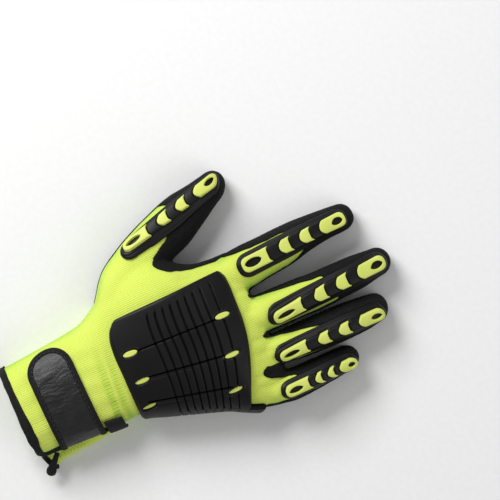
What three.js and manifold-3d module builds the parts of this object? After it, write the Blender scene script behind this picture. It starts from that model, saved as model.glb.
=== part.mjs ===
// Impact work glove for the right hand, lying palm down: a knitted shell with a coated palm,
// moulded guards on the back, and a strap that closes the slit cuff.
// Millimetres, +Z up, fingers along +Y, thumb on the -X side, origin on the floor under the palm.
import * as THREE from "three";
import Module from "manifold-3d";

const wasm = await Module();
wasm.setup();

// Layers of the wall, each measured inwards from the outside of the coating.
const KNIT_WALL = 1.2;
const COATING_WALL = 0.9;
const GAP = 0.3;
const GUARD_GAP = 0.5;
const COATING_IN = COATING_WALL;
const KNIT_OUT = COATING_IN + GAP;
const KNIT_IN = KNIT_OUT + KNIT_WALL;
const SEAT = KNIT_OUT - GUARD_GAP; // where a guard's underside lies, just off the knit

// Cuff, slit and strap.
const CUFF_Y = -103.5;
const SLIT_END_Y = -47;
const SLIT_LOW = 7.5;
const SLIT_HIGH = 16;
const BINDING_WIDTH = 5.5;
const BINDING_LIP = 1;
const STRAP = { middle: -73.6, width: 30, tipAngle: 146, rootAngle: 0, thickness: 1.6 };

// Palm coating: it starts at the wrist, and covers the sides up to this height.
const COATING_START_Y = -32;
const COATING_HEIGHT = 9.6;

// Section shape: the bottom lies flat, the top is round.
const TOP_SQUARENESS = 0.86;
const BOTTOM_SQUARENESS = 0.62;
const MIDDLE_SHARE = 0.42;
const FLAT_SAG = 2.5;
const HAND_SIDES = 24;
const DIGIT_SIDES = 12;

// The hand from cuff to knuckles: its two edges, its height, how far the top leans to the thumb,
// and how far the cuff's lower lip stands out past the slit.
const HAND = [
  { y: -103.5, left: -31.5, right: 29.5, height: 34, lean: 0, flare: 14 },
  { y: -90, left: -32.5, right: 30, height: 34, lean: 0, flare: 8.5 },
  { y: -68, left: -34.3, right: 31, height: 34.5, lean: 0, flare: 6 },
  { y: -46, left: -37, right: 32.8, height: 35.5, lean: 0.02, flare: 1 },
  { y: -33, left: -44, right: 32.5, height: 37, lean: 0.05, flare: 0 },
  { y: -20, left: -52, right: 37, height: 38.5, lean: 0.08, flare: 0 },
  { y: -6, left: -57, right: 42, height: 40, lean: 0.1, flare: 0 },
  { y: 8, left: -57, right: 47, height: 40.5, lean: 0.12, flare: 0 },
  { y: 17, left: -52, right: 50.5, height: 40, lean: 0.13, flare: 0 },
  { y: 25, left: -45.3, right: 55, height: 39.3, lean: 0.13, flare: 0 },
  { y: 34, left: -40.5, right: 59.5, height: 37.8, lean: 0.12, flare: 0 },
  { y: 47, left: -38.5, right: 63.5, height: 33, lean: 0.1, flare: 0 },
  { y: 57, left: -38.3, right: 65, height: 26.6, lean: 0.07, flare: 0 },
];
const HAND_END_Y = 59.5;

// The pads' ends as shares of the guard's length: a rounded pad, two chevrons, a rounded pad.
const LONG_SHARES = [0.043, 0.28, 0.383, 0.478, 0.569, 0.662, 0.751, 0.976];
const SHORT_SHARES = [0.055, 0.35, 0.432, 0.513, 0.592, 0.673, 0.746, 0.975];

// The digits: middle line, half width and height of each section. Guards: their middle line and ends.
const DIGITS = {
  thumb: {
    tip: 75,
    rounding: 10,
    rows: [
      { y: -34, x: -28, half: 14, height: 30 },
      { y: -20, x: -37.5, half: 22.5, height: 33 },
      { y: -6, x: -46.7, half: 21.7, height: 31.5 },
      { y: 10, x: -57.1, half: 18.6, height: 29.5 },
      { y: 24, x: -64, half: 17, height: 27.5 },
      { y: 38, x: -68.8, half: 16.4, height: 25.5 },
      { y: 52, x: -73.7, half: 13, height: 23.5 },
      { y: 64, x: -78.2, half: 10.6, height: 20.5 },
      { y: 73, x: -80.5, half: 9.8, height: 18.5 },
    ],
    guard: { from: -3.9, to: 72, xFrom: -63.9, xTo: -83, width: 14.4, shares: LONG_SHARES },
  },
  index: {
    tip: 139,
    rounding: 9,
    rows: [
      { y: 38, x: -23.5, half: 13, height: 30 },
      { y: 62, x: -24.2, half: 13.9, height: 28.2 },
      { y: 76, x: -25.2, half: 13.3, height: 26.5 },
      { y: 92, x: -26.1, half: 12.7, height: 24.5 },
      { y: 106, x: -27.4, half: 11, height: 22.5 },
      { y: 118, x: -27.6, half: 9.9, height: 20 },
      { y: 130, x: -27.3, half: 9, height: 17 },
    ],
    guard: { from: 58.2, to: 134, xFrom: -25, xTo: -26.4, width: 15.8, shares: LONG_SHARES },
  },
  middle: {
    tip: 148.5,
    rounding: 9.5,
    rows: [
      { y: 38, x: 6.2, half: 12, height: 31 },
      { y: 62, x: 6.4, half: 12.5, height: 29.2 },
      { y: 81, x: 7, half: 12.5, height: 27.2 },
      { y: 104, x: 8, half: 12, height: 24.5 },
      { y: 124, x: 7.9, half: 11.2, height: 21.5 },
      { y: 139, x: 7.6, half: 9.6, height: 17.5 },
    ],
    guard: { from: 62.2, to: 145.4, xFrom: 12.2, xTo: 8.6, width: 16, shares: LONG_SHARES },
  },
  ring: {
    tip: 135,
    rounding: 9.5,
    rows: [
      { y: 38, x: 30.2, half: 9.6, height: 30 },
      { y: 58, x: 30.4, half: 9.9, height: 28 },
      { y: 74, x: 31.8, half: 11.2, height: 26.5 },
      { y: 94, x: 32.5, half: 11.7, height: 24.5 },
      { y: 112, x: 32.9, half: 11.4, height: 22 },
      { y: 126, x: 33.2, half: 9.8, height: 18 },
    ],
    guard: { from: 56, to: 131.4, xFrom: 35.2, xTo: 37.2, width: 15, shares: LONG_SHARES },
  },
  little: {
    tip: 105.5,
    rounding: 9,
    rows: [
      { y: 34, x: 49, half: 8.5, height: 26.5 },
      { y: 54, x: 54.6, half: 10.3, height: 26.5 },
      { y: 70, x: 54.9, half: 9.8, height: 24.5 },
      { y: 84, x: 54.4, half: 9.4, height: 22 },
      { y: 97, x: 54.1, half: 8.6, height: 18.5 },
    ],
    guard: { from: 50.2, to: 103, xFrom: 57.4, xTo: 57.6, width: 14.6, shares: SHORT_SHARES },
  },
};

// What stays bare knit on the back, seen from above; the coating covers the rest.
const BARE_KNIT = [
  [-110, -60], [-110, 23], [-83, 24], [-77, 43], [-70.4, 40], [-60.8, 24.9], [-53.6, 14], [-51, 11],
  [-47.5, 12], [-42.1, 17.6], [-38.8, 26.3], [-36, 38.2], [-35.1, 56.3], [-33.8, 71],
  [-33.8, 94], [-30, 101], [-21, 103], [-17.8, 100], [-14.9, 89.9], [-12.8, 76.5],
  [-11.1, 63.2], [-9.2, 58], [-6.7, 56], [-4.8, 59], [-3.5, 69.6], [-1.2, 86], [1.2, 104],
  [6, 108], [15, 111], [18.2, 107], [18.4, 93], [18, 76], [17.6, 58], [18.3, 54], [20, 54],
  [21.4, 57], [23.9, 67.7], [27.6, 88], [30, 98], [35, 98], [38.6, 66], [38.4, 55.7],
  [37.6, 48], [41, 44.5], [45.2, 47.6], [47.9, 56], [50, 64], [56, 67], [61, 63], [62, 58],
  [61, 46], [58, 36], [54.5, 31.5], [90, 30], [90, -60],
];

// Moulded guards: heights above the seat.
const GUARD_FLANGE = 2.2;
const GUARD_BLOCK = 4;
const PAD_BOTTOM = GUARD_FLANGE + 1.5 * GAP;
const PAD_TOP = 4.6;
const PAD_WIDTH_SHARE = 0.62;
// How far a pad's near and far ends bow along the digit.
const BOW_NEAR = 2.8;
const BOW_FAR = 1.7;
// Holes through the end pads: the rim left at the round end, and the share of the pad reached.
const NEAR_HOLE = { rim: 2.2, reach: 0.73, width: 4.4 };
const FAR_HOLE = { rim: 1.9, reach: 0.6, width: 4.4 };
// Knuckle guard: near and far edge at each place across, from the thumb's side to the little finger's.
const KNUCKLE_EDGES = [
  { y: -28.4, near: -18, far: 42 },
  { y: -27.6, near: -23.5, far: 46 },
  { y: -25, near: -28, far: 48.6 },
  { y: -20, near: -31.5, far: 49.6 },
  { y: -10, near: -33.6, far: 49.2 },
  { y: 5, near: -34, far: 48.2 },
  { y: 20, near: -34.5, far: 45 },
  { y: 34, near: -34.8, far: 39.6 },
  { y: 46, near: -34.6, far: 33.8 },
  { y: 56, near: -34.2, far: 28.6 },
];
const KNUCKLE_THICKNESS = 4;
const KNUCKLE_SIDE_ANGLES = [32, 20, 7, -6]; // the columns that wrap over the outer side
const LENSES = [
  { x: -5.9, y: -24 }, { x: 11.3, y: -24.4 }, { x: 26.2, y: -27.3 },
  { x: -2.4, y: 37.7 }, { x: 20.6, y: 32.9 }, { x: 40, y: 25.5 },
];
const LENS = { length: 11.8, width: 4.6 };
// Grooves, as shares of the way from the near edge to the far one, and their size.
const GROOVE_SHARES = [0.325, 0.39, 0.455, 0.52, 0.585, 0.65, 0.715, 0.78, 0.865];
const GROOVE = { halfShare: 0.011, halfWidth: 0.8, depth: 1.5 };

const MATERIALS = {
  knit: new THREE.MeshStandardMaterial({ color: 0xcde845, roughness: 0.9, metalness: 0 }),
  coating: new THREE.MeshStandardMaterial({ color: 0x1b1b1c, roughness: 0.85, metalness: 0 }),
  guard: new THREE.MeshStandardMaterial({ color: 0x222223, roughness: 0.5, metalness: 0 }),
  accent: new THREE.MeshStandardMaterial({ color: 0xd9e66a, roughness: 0.5, metalness: 0 }),
  leather: new THREE.MeshStandardMaterial({ color: 0x1c1a1b, roughness: 0.4, metalness: 0 }),
  binding: new THREE.MeshStandardMaterial({ color: 0x151517, roughness: 0.8, metalness: 0 }),
};

const { clamp, degToRad, lerp } = THREE.MathUtils;

// Reads a table anywhere along its first column, as a smooth curve through each other column.
function reader(rows) {
  const names = Object.keys(rows[0]).filter((name) => name !== "y");
  const values = rows.flatMap((row) => names.map((name) => row[name]));
  const curve = new THREE.CubicInterpolant(rows.map((row) => row.y), values, names.length);
  return (y) => {
    const read = curve.evaluate(clamp(y, rows[0].y, rows.at(-1).y));
    return Object.fromEntries(names.map((name, i) => [name, read[i]]));
  };
}

// A closed solid from points and the triangles between them; points that coincide become one.
function solidFrom(points, triangles) {
  const known = new Map();
  const kept = [];
  const index = points.map((p) => {
    const key = p.map((v) => Math.round(v * 1000)).join();
    if (!known.has(key)) known.set(key, kept.push(p) - 1);
    return known.get(key);
  });
  const faces = triangles
    .map((t) => t.map((i) => index[i]))
    .filter(([a, b, c]) => a !== b && b !== c && c !== a);
  const make = (list) =>
    new wasm.Manifold(
      new wasm.Mesh({
        numProp: 3,
        vertProperties: new Float32Array(kept.flat()),
        triVerts: new Uint32Array(list.flat()),
      }),
    );
  const made = make(faces);
  return made.volume() > 0 ? made : make(faces.map(([a, b, c]) => [a, c, b]));
}

// A solid through closed rings of equal length, with flat ends.
function loft(rings) {
  const n = rings[0].length;
  const points = rings.flat();
  const triangles = [];
  for (let r = 0; r + 1 < rings.length; r++) {
    for (let i = 0; i < n; i++) {
      const a = r * n + i;
      const b = r * n + ((i + 1) % n);
      triangles.push([a, b, b + n], [a, b + n, a + n]);
    }
  }
  for (const [ring, turned] of [[0, true], [rings.length - 1, false]]) {
    const middle = new THREE.Vector3();
    rings[ring].forEach((p) => middle.addScaledVector(new THREE.Vector3(...p), 1 / n));
    const hub = points.push(middle.toArray()) - 1;
    for (let i = 0; i < n; i++) {
      const a = ring * n + i;
      const b = ring * n + ((i + 1) % n);
      triangles.push(turned ? [hub, b, a] : [hub, a, b]);
    }
  }
  return solidFrom(points, triangles);
}

// A slab over a grid of cells: place(u, v, layer) gives a point of its underside (0) or top (1).
function slab(across, along, place) {
  const points = [];
  const triangles = [];
  const id = (layer, i, j) => (layer * (along + 1) + j) * (across + 1) + i;
  const quad = (a, b, c, d) => triangles.push([a, b, c], [a, c, d]);
  for (const layer of [0, 1])
    for (let j = 0; j <= along; j++)
      for (let i = 0; i <= across; i++) points.push(place(i / across, j / along, layer));
  for (let j = 0; j < along; j++)
    for (let i = 0; i < across; i++) {
      quad(id(1, i, j), id(1, i + 1, j), id(1, i + 1, j + 1), id(1, i, j + 1));
      quad(id(0, i, j), id(0, i, j + 1), id(0, i + 1, j + 1), id(0, i + 1, j));
    }
  for (let i = 0; i < across; i++) {
    quad(id(0, i, 0), id(0, i + 1, 0), id(1, i + 1, 0), id(1, i, 0));
    quad(id(0, i + 1, along), id(0, i, along), id(1, i, along), id(1, i + 1, along));
  }
  for (let j = 0; j < along; j++) {
    quad(id(0, 0, j + 1), id(0, 0, j), id(1, 0, j), id(1, 0, j + 1));
    quad(id(0, across, j), id(0, across, j + 1), id(1, across, j + 1), id(1, across, j));
  }
  return solidFrom(points, triangles);
}

function block(xLow, xHigh, yLow, yHigh, zLow, zHigh) {
  const corner = (u, v, layer) => [lerp(xLow, xHigh, u), lerp(yLow, yHigh, v), layer ? zHigh : zLow];
  return slab(1, 1, corner);
}

// A plan outline raised straight up.
function prism(outline, zLow, zHigh) {
  const shape = new THREE.Shape(outline.map(([x, y]) => new THREE.Vector2(x, y)));
  const geometry = new THREE.ExtrudeGeometry(shape, { depth: zHigh - zLow, bevelEnabled: false });
  const place = geometry.getAttribute("position");
  const points = [];
  const triangles = [];
  for (let i = 0; i < place.count; i++)
    points.push([place.getX(i), place.getY(i), place.getZ(i) + zLow]);
  for (let i = 0; i < place.count; i += 3) triangles.push([i, i + 1, i + 2]);
  return solidFrom(points, triangles);
}

// A point of a section: angle 0 points to the little finger's side, 90 up.
function sectionPoint(section, degrees, inset) {
  const c = Math.cos(degToRad(degrees));
  const s = Math.sin(degToRad(degrees));
  const power = s < 0 ? BOTTOM_SQUARENESS : TOP_SQUARENESS;
  const side = Math.sign(c) * Math.abs(c) ** power;
  const rise = Math.abs(s) ** power;
  const flare = s < 0 && c > 0 ? section.flare * Math.min(1, -s / 0.35) : 0;
  const middle = section.height * MIDDLE_SHARE;
  const up = middle + (section.height - inset - middle) * rise * (1 - section.lean * side);
  const down = middle - (middle - inset + FLAT_SAG) * rise;
  const squeeze = section.squeeze ?? 1;
  const z = s < 0 ? Math.max(inset, down) : up;
  return [
    section.x + (section.half - inset + flare) * side * squeeze,
    section.y,
    middle + (z - middle) * squeeze,
  ];
}

function ring(section, sides, inset) {
  return Array.from({ length: sides }, (_, i) => sectionPoint(section, (360 * i) / sides, inset));
}

const readHand = reader(HAND);
function handSection(y) {
  const { left, right, height, lean, flare } = readHand(y);
  return { y, x: (left + right) / 2, half: (right - left) / 2, height, lean, flare };
}

for (const digit of Object.values(DIGITS)) digit.read = reader(digit.rows);
function digitSection(digit, y, inset) {
  const bodyEnd = digit.tip - digit.rounding;
  const into = Math.max(0, (y - bodyEnd) / (digit.rounding - inset));
  const squeeze = Math.sqrt(Math.max(0, 1 - into * into));
  return { y, ...digit.read(y), lean: 0, flare: 0, squeeze };
}

function handForm(inset, fromY) {
  const places = [fromY, -84, -66, -50, -40, -31, -20, -8, 4, 13, 21, 28, 37, 47, 55];
  const rings = places.map((y) => ring(handSection(y), HAND_SIDES, inset));
  const last = { ...handSection(HAND_END_Y - inset), squeeze: 0.9 };
  return loft([...rings, ring(last, HAND_SIDES, inset)]);
}

function digitForm(digit, inset) {
  const start = digit.rows[0].y + inset;
  const bodyEnd = digit.tip - digit.rounding;
  const steps = Math.round((bodyEnd - start) / 15);
  const places = Array.from({ length: steps + 1 }, (_, i) => lerp(start, bodyEnd, i / steps));
  for (const share of [0.55, 0.9]) places.push(bodyEnd + share * (digit.rounding - inset));
  return loft(places.map((y) => ring(digitSection(digit, y, inset), DIGIT_SIDES, inset)));
}

// The whole outer form of the glove, inset by some thickness.
function gloveForm(inset, fromY) {
  return Object.values(DIGITS)
    .map((digit) => digitForm(digit, inset))
    .reduce((sum, form) => sum.add(form), handForm(inset, fromY));
}

// The angle at which a section's top stands over a plan place.
function angleOver(section, x) {
  const share = clamp((x - section.x) / section.half, -1, 1);
  const cosine = Math.sign(share) * Math.abs(share) ** (1 / TOP_SQUARENESS);
  return (Math.acos(cosine) * 180) / Math.PI;
}

// A point on a digit at a place along its guard, and some millimetres across and above the seat.
function onDigit(digit, y, across, above) {
  const { from, to, xFrom, xTo } = digit.guard;
  const section = digitSection(digit, Math.min(y, digit.tip - 1.5), 0);
  const reach = section.half * section.squeeze;
  const share = clamp((y - from) / (to - from), 0, 1);
  const turn = angleOver({ ...section, half: reach }, lerp(xFrom, xTo, share));
  const radius = (reach + section.height / 2) / 2 + above;
  const degrees = turn - ((across / radius) * 180) / Math.PI;
  return sectionPoint({ ...section, y }, degrees, SEAT - above);
}

// A patch on a digit: edges(v) gives the half width, and the bow bends it along the digit.
function digitPatch(digit, [near, far], halfWidth, [low, high], bow, cells) {
  const { from, to } = digit.guard;
  const place = (u, v, layer) => {
    const across = (2 * u - 1) * halfWidth(v);
    const bend = bow ? bow(v) * ((across / halfWidth(0.5)) ** 2) : 0;
    const y = lerp(from, to, lerp(near, far, v)) + bend;
    return onDigit(digit, y, across, layer ? high : low);
  };
  return slab(cells[0], cells[1], place);
}

// Half width of a strip that is round at one or both ends; v runs along it.
function roundedWidth(half, length, ends) {
  return (v) => {
    const fromEnd = Math.min(ends.near ? v * length : half, ends.far ? (1 - v) * length : half);
    const into = clamp(1 - fromEnd / half, 0, 1);
    return half * Math.sqrt(Math.max(0.02, 1 - into * into));
  };
}

function guardBase(digit, grow, low, high) {
  const { from, to, width } = digit.guard;
  const length = to - from;
  const half = width / 2 + grow;
  const flange = roundedWidth(half, length + 2 * grow, { near: true, far: true });
  const ends = [-grow / length, 1 + grow / length];
  // Rows crowd towards the round ends.
  const spread = (v) => 0.5 - 0.5 * Math.cos(Math.PI * v);
  const place = (u, v, layer) => {
    const along = spread(v);
    const y = lerp(from, to, lerp(ends[0], ends[1], along));
    return onDigit(digit, y, (2 * u - 1) * flange(along), layer ? high : low);
  };
  return slab(4, 12, place);
}

function guardParts(name, digit) {
  const { from, to, width, shares } = digit.guard;
  const length = to - from;
  const padHalf = (width * PAD_WIDTH_SHARE) / 2;
  let base = guardBase(digit, 0, 0, GUARD_FLANGE);
  for (const i of [1, 3, 5]) {
    // A black block fills the middle of the space between two pads.
    const ends = [lerp(shares[i], shares[i + 1], 0.15), lerp(shares[i], shares[i + 1], 0.85)];
    const rise = [GUARD_FLANGE / 2, GUARD_BLOCK];
    const bow = (v) => lerp(BOW_FAR, BOW_NEAR, v);
    base = base.add(digitPatch(digit, ends, () => padHalf, rise, bow, [4, 1]));
  }
  const parts = { [name + "_guard_base"]: { solid: base, material: MATERIALS.guard } };
  for (let i = 0; i < 4; i++) {
    const [near, far] = shares.slice(2 * i, 2 * i + 2);
    const ends = { near: i === 0, far: i === 3 };
    const round = ends.near || ends.far;
    const half = round ? roundedWidth(padHalf, (far - near) * length, ends) : () => padHalf;
    const bow = (v) => lerp(ends.near ? 0 : BOW_NEAR, ends.far ? 0 : BOW_FAR, v);
    let pad = digitPatch(digit, [near, far], half, [PAD_BOTTOM, PAD_TOP], bow, [4, round ? 5 : 1]);
    if (round) {
      const hole = ends.near ? NEAR_HOLE : FAR_HOLE;
      const rim = hole.rim / length;
      const reach = hole.reach * (far - near);
      const oval = (v) => (hole.width / 2) * Math.sqrt(Math.max(0.02, 1 - (2 * v - 1) ** 2));
      const cut = [PAD_BOTTOM - 1, PAD_TOP + 1];
      const span = ends.near ? [near + rim, near + reach] : [far - reach, far - rim];
      pad = pad.subtract(digitPatch(digit, span, oval, cut, null, [2, 6]));
    }
    parts[`${name}_pad_${i + 1}`] = { solid: pad, material: MATERIALS.accent };
  }
  return parts;
}

// A point on the back of the hand over a plan place, some millimetres above the seat.
function onHand(x, y, above) {
  const section = handSection(y);
  return sectionPoint(section, angleOver(section, x), SEAT - above);
}

// The knuckle guard's columns: their x near the wrist and near the knuckles, and how deep they lie.
function knuckleColumns() {
  const lines = [0, 1, 2].map((i) => ({ near: LENSES[i].x, far: LENSES[i + 3].x }));
  const columns = [{ near: -28.4, far: -28.4, sunk: 0 }, { near: -17, far: -15.5, sunk: 0 }];
  lines.forEach(({ near, far }, i) => {
    for (const step of [-1, 0, 1]) {
      const aside = step * GROOVE.halfWidth;
      columns.push({ near: near + aside, far: far + aside, sunk: step ? 0 : 1 });
    }
    if (i < 2) {
      const next = lines[i + 1];
      columns.push({ near: (near + next.near) / 2, far: (far + next.far) / 2, sunk: 0 });
    }
  });
  for (const angle of KNUCKLE_SIDE_ANGLES) columns.push({ angle, sunk: 0 });
  return columns;
}

function knuckleRows() {
  const rows = [0, 0.06, 0.15, 0.25].map((share) => ({ share, sunk: 0 }));
  for (const share of GROOVE_SHARES)
    for (const step of [-1, 0, 1])
      rows.push({ share: share + step * GROOVE.halfShare, sunk: step ? 0 : 1 });
  return [...rows, { share: 0.94, sunk: 0 }, { share: 1, sunk: 0 }];
}

const readKnuckle = reader(KNUCKLE_EDGES);
function knuckleSlab(columns, rows, low, high) {
  const place = (u, v, layer) => {
    const column = columns[Math.round(u * (columns.length - 1))];
    const row = rows[Math.round(v * (rows.length - 1))];
    const x = column.angle === undefined ? lerp(column.near, column.far, row.share) : 56;
    const { near, far } = readKnuckle(x);
    const y = lerp(near, far, row.share);
    const section = handSection(y);
    const degrees = column.angle ?? angleOver(section, x);
    const alongLine = column.sunk && row.share > 0.08 && row.share < 0.9;
    const drop = layer && (row.sunk || alongLine) ? GROOVE.depth : 0;
    return sectionPoint(section, degrees, SEAT - (layer ? high : low) + drop);
  };
  return slab(columns.length - 1, rows.length - 1, place);
}

// A pointed oval with its length along the glove, standing through the guard.
function lens({ x, y }, grow, low, high) {
  const half = (v) => (LENS.width / 2 + grow) * Math.sin(Math.PI * clamp(v, 0.02, 0.98)) ** 0.8;
  const place = (u, v, layer) => {
    const along = y + (v - 0.5) * (LENS.length + 2 * grow);
    return onHand(x + (2 * u - 1) * half(v), along, layer ? high : low);
  };
  return slab(2, 8, place);
}

function knuckleGuard() {
  let guard = knuckleSlab(knuckleColumns(), knuckleRows(), 0.35, KNUCKLE_THICKNESS);
  for (const place of LENSES)
    guard = guard.subtract(lens(place, 1.5 * GAP, -1, KNUCKLE_THICKNESS + 1));
  return guard;
}

// The slit in the cuff's outer side, grown by some thickness.
function slit(grow) {
  return block(16, 70, CUFF_Y - 20, SLIT_END_Y + grow, SLIT_LOW - grow, SLIT_HIGH + grow);
}

function hollowHand(outer, inner, fromY) {
  return handForm(outer, fromY).subtract(handForm(inner, fromY - 10));
}

// A folded tape over the cuff's edge and the slit's upper lip, with a slot for the knit.
function cuffBinding() {
  const end = CUFF_Y - BINDING_LIP;
  const band = block(-60, 70, end - 5, end + BINDING_WIDTH, -5, 60);
  const lip = block(16, 70, end - 5, SLIT_END_Y, SLIT_HIGH - BINDING_LIP, SLIT_HIGH + BINDING_WIDTH);
  const tape = hollowHand(0, KNIT_IN + KNIT_OUT, end).intersect(band.add(lip));
  const slot = hollowHand(KNIT_OUT - GAP, KNIT_IN + GAP, CUFF_Y - GAP).subtract(slit(-GAP));
  return tape.subtract(slot).subtract(slit(-BINDING_LIP));
}

// A point round the cuff, some millimetres above its outside.
function onCuff(y, degrees, above) {
  return sectionPoint(handSection(y), degrees, -above);
}

function strap() {
  const { middle, width, tipAngle, rootAngle, thickness } = STRAP;
  const roundShare = 0.3;
  const place = (u, v, layer) => {
    const along = 1 - (1 - u) ** 1.4;
    const into = clamp(1 - along / roundShare, 0, 1);
    const half = (width / 2) * Math.sqrt(Math.max(0.02, 1 - into * into));
    const y = middle + (2 * v - 1) * half;
    return onCuff(y, lerp(tipAngle, rootAngle, along), GAP + (layer ? thickness : 0));
  };
  return slab(20, 4, place);
}

// The folded tape end that closes the slit.
function slitTab() {
  const place = (u, v, layer) =>
    onCuff(lerp(-57.5, -45, v), lerp(26, -14, u), 2 * GAP + (layer ? 1.8 : 0));
  return slab(3, 2, place);
}

const biggest = (solid) =>
  solid.decompose().reduce((best, piece) => (piece.volume() > best.volume() ? piece : best));

// The knitted shell: the whole hand, open at the cuff and along the slit.
const shell = gloveForm(KNIT_OUT, CUFF_Y)
  .subtract(gloveForm(KNIT_IN, CUFF_Y - 10))
  .subtract(slit(0));

const pieces = {
  knit_shell: { solid: shell, material: MATERIALS.knit },
  cuff_binding: { solid: cuffBinding(), material: MATERIALS.binding },
  wrist_strap: { solid: strap(), material: MATERIALS.leather },
  slit_tab: { solid: slitTab(), material: MATERIALS.binding },
  knuckle_guard: { solid: knuckleGuard(), material: MATERIALS.guard },
};
LENSES.forEach((place, i) => {
  const solid = lens(place, 0, 0.1, KNUCKLE_THICKNESS - 0.6);
  pieces[`knuckle_lens_${i + 1}`] = { solid, material: MATERIALS.accent };
});

// The coating: a skin over the shell, cut clear of the bare knit and of every guard.
let coating = gloveForm(0, COATING_START_Y)
  .subtract(gloveForm(COATING_IN, COATING_START_Y - 10))
  .intersect(block(-110, 90, COATING_START_Y, 160, -1, 60))
  .subtract(prism(BARE_KNIT, COATING_HEIGHT, 60));
for (const [name, digit] of Object.entries(DIGITS)) {
  for (const [part, { solid, material }] of Object.entries(guardParts(name, digit)))
    pieces[part] = { solid, material };
  coating = coating.subtract(guardBase(digit, 3 * GAP, -2 * GAP, 8));
}
pieces.palm_coating = { solid: coating, material: MATERIALS.coating };

const glove = new THREE.Group();
for (const [name, { solid, material }] of Object.entries(pieces)) {
  const body = biggest(solid);
  const { vertProperties, triVerts, numProp, numVert } = body.getMesh();
  const positions = new Float32Array(numVert * 3);
  for (let i = 0; i < numVert; i++)
    positions.set(vertProperties.subarray(i * numProp, i * numProp + 3), i * 3);
  const geometry = new THREE.BufferGeometry()
    .setAttribute("position", new THREE.BufferAttribute(positions, 3))
    .setIndex(new THREE.BufferAttribute(triVerts, 1));
  geometry.computeVertexNormals();
  const mesh = new THREE.Mesh(geometry, material);
  mesh.name = name;
  glove.add(mesh);
}

export default glove;
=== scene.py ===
# %% [markdown]
# # Impact work glove
# A right hand's work glove, lying palm down: a knitted shell, a dipped palm, moulded rubber guards on
# its back and a strap at the wrist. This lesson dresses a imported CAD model. It keeps every size, and
# makes each piece again with the shape and finish of the real material.

import math

import bmesh
import bpy
from mathutils import Matrix, Vector, noise


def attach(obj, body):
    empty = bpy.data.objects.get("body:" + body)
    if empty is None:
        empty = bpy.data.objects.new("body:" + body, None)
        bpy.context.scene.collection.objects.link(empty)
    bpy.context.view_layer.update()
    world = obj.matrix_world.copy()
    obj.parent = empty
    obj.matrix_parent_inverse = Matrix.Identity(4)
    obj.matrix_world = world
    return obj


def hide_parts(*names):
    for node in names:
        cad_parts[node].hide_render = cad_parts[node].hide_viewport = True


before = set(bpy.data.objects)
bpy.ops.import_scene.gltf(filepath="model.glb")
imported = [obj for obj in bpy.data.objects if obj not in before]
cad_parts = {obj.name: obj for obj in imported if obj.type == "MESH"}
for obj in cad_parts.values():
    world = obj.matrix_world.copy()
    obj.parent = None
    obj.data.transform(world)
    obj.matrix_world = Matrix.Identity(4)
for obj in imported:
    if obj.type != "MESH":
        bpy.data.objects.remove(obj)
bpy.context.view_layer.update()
print("nodes:", len(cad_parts))

# %% [markdown]
# The hand is described by sections, the way a glove form is: each row gives a place along the glove,
# and how wide and high the hand is there. Every later piece asks these tables where the surface is,
# so guards and seams lie on the hand without any fitting. Lengths are millimetres until a point is made.

# %% Sections of the hand and digits
MM = 0.001
COATING_WALL = 0.9
GAP = 0.3
GUARD_GAP = 0.5
KNIT_OUT = COATING_WALL + GAP
SEAT = KNIT_OUT - GUARD_GAP
CUFF_Y = -103.5
SLIT_END_Y = -47
SLIT_LOW = 10.5
SLIT_HIGH = 16
LIP_SLANT = 0.36
LIP_SLANT_START_Y = -84
FLARE_STARTS = 0.08
FLARE_FULL = 0.42
TOP_SQUARENESS = 0.86
BOTTOM_SQUARENESS = 0.62
MIDDLE_SHARE = 0.42
FLAT_SAG = 2.5

HAND_COLUMNS = ("y", "left", "right", "height", "lean", "flare")
HAND = [
    (-103.5, -31.5, 29.5, 34, 0, 14),
    (-90, -32.5, 30, 34, 0, 10.5),
    (-68, -34.3, 31, 34.5, 0, 8.5),
    (-46, -37, 32.8, 35.5, 0.02, 2),
    (-33, -44, 32.5, 37, 0.05, 0),
    (-20, -52, 37, 38.5, 0.08, 0),
    (-6, -57, 42, 40, 0.1, 0),
    (8, -57, 47, 40.5, 0.12, 0),
    (17, -52, 50.5, 40, 0.13, 0),
    (25, -45.3, 55, 39.3, 0.13, 0),
    (34, -40.5, 59.5, 37.8, 0.12, 0),
    (47, -38.5, 63.5, 33, 0.1, 0),
    (57, -38.3, 65, 26.6, 0.07, 0),
]
HAND_END_Y = 59.5

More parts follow.
